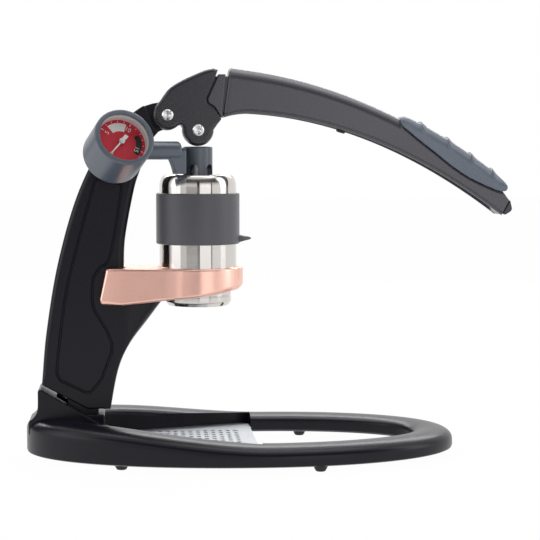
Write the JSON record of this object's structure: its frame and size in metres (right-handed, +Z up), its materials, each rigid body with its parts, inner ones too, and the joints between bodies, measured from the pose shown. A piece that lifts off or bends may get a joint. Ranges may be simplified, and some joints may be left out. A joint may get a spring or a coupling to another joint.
{
  "type": "manual lever espresso maker",
  "caption": "Manual lever espresso maker: curved post on an open oval base, long ribbed lever, steel brew cylinder in a rose-gold ring bracket, swivelling pressure gauge and drip tray.",
  "frame": {"origin": "on the table under the middle of the machine's bounding box", "axes": "+X from the post to the lever's tip, +Y across the base, +Z up"},
  "size_m": [0.3169, 0.1518, 0.2515],
  "materials": {
    "black_casting": "satin black powder coat on cast aluminium",
    "black_rubber": "matte",
    "black_plastic": "fine satin",
    "rose_metal": "rose-gold satin anodised",
    "steel": "satin",
    "polished_steel": "polished stainless steel",
    "brass": "plain",
    "white_plastic": "smooth",
    "grey_rubber": "soft matte silicone",
    "grey_plastic": "satin",
    "sleeve_rubber": "matte silicone",
    "red_dial": "printed sheet",
    "clear_lens": "clear",
    "white_needle": "white paint"
  },
  "bodies": {
    "stand": {"base_casting": "black_casting", "rubber_feet": "black_rubber", "post": "black_casting", "bracket": "rose_metal", "bracket_screws": "steel", "pivot_bush": "brass", "pivot_washers": "white_plastic", "brew_cylinder": "polished_steel", "silicone_sleeve": "sleeve_rubber", "cylinder_gasket": "black_rubber", "portafilter": "polished_steel", "filter_basket": "steel", "shower_screen": "steel"},
    "thumbscrew": {"post_thumbscrew": "black_plastic"},
    "lever": {"lever_head": "black_casting", "lever_arm": "black_casting", "arm_screws": "steel", "grip_pad": "grey_rubber", "lever_end_cap": "black_plastic", "arm_bumper": "black_rubber", "pivot_pin": "polished_steel", "roller_pin": "polished_steel"},
    "roller": {"press_roller": "steel"},
    "plunger": {"piston": "black_plastic", "piston_rod": "steel", "piston_o_rings": "black_rubber"},
    "gauge": {"stem_manifold": "grey_plastic", "gauge_case": "grey_plastic", "gauge_socket": "brass", "bourdon_tube": "brass", "gauge_movement": "brass", "gauge_dial": "red_dial", "gauge_ring": "white_plastic", "gauge_lens": "clear_lens"},
    "needle": {"gauge_needle": "white_needle", "needle_arbor": "steel"},
    "tray": {"drip_tray": "black_plastic"},
    "grate": {"drip_grate": "steel"}
  },
  "joints": [
    {"name": "lever_pivot", "type": "hinge", "parent": "stand", "child": "lever", "pos_m": [-0.0666, 0, 0.2208], "axis": [0, -1, 0], "range_deg": [0, 65]},
    {"name": "roller_spin", "type": "hinge", "parent": "lever", "child": "roller", "pos_m": [-0.047, 0, 0.2112], "axis": [0, 1, 0], "continuous": true},
    {"name": "plunger_slide", "type": "slide", "parent": "stand", "child": "plunger", "axis": [0, 0, 1], "range_m": [0, 0.0225]},
    {"name": "gauge_swivel", "type": "hinge", "parent": "plunger", "child": "gauge", "pos_m": [-0.047, 0, 0.1982], "axis": [0, 0, 1], "range_deg": [0, 75]},
    {"name": "needle_turn", "type": "hinge", "parent": "gauge", "child": "needle", "pos_m": [-0.09949, -0.0356, 0.1982], "axis": [-0.3074, 0.8446, -0.4384], "range_deg": [0, 270], "stiffness_Nm_per_rad": 0.0002},
    {"name": "thumbscrew_turn", "type": "hinge", "parent": "stand", "child": "thumbscrew", "pos_m": [-0.121, 0, 0.01], "axis": [0, 0, 1], "continuous": true},
    {"name": "tray_lift", "type": "slide", "parent": "stand", "child": "tray", "axis": [0, 0, 1], "range_m": [0, 0.04]},
    {"name": "grate_lift", "type": "slide", "parent": "tray", "child": "grate", "axis": [0, 0, 1], "range_m": [0, 0.03]}
  ],
  "couplings": [
    {"joint": "plunger_slide", "follows": "lever_pivot", "m_per_rad": 0.0196}
  ]
}
